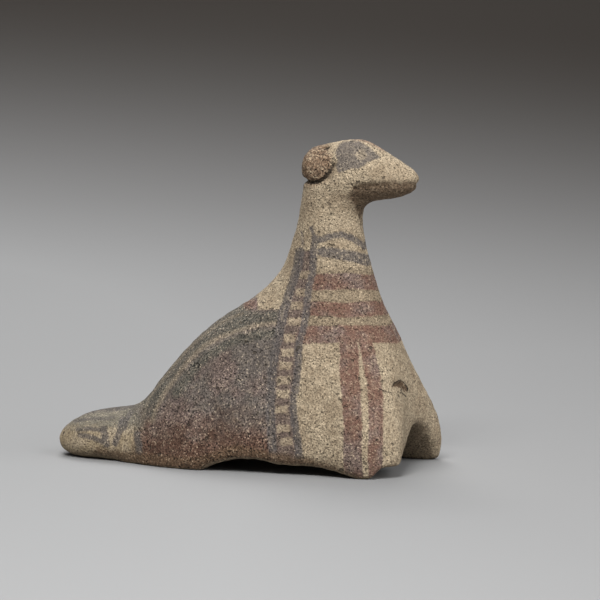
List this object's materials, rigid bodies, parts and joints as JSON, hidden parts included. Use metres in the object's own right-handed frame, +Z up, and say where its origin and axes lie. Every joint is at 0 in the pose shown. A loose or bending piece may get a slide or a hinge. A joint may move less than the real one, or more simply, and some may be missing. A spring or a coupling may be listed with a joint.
{
  "type": "bird figurine",
  "caption": "Painted clay bird with a bell-shaped hollow body, flat tail, blunt feet, thick neck and a blunt-beaked head with a rounded knob behind it.",
  "frame": {"origin": "on the ground, under the middle of the figure's outline", "axes": "+X toward the beak, +Y to the bird's left, +Z up"},
  "size_m": [0.1036, 0.0502, 0.0873],
  "materials": {
    "painted_clay": "coarse matt buff clay with worn red and grey-blue painted bands"
  },
  "bodies": {
    "root": {"clay_bird": "painted_clay"}
  },
  "joints": []
}
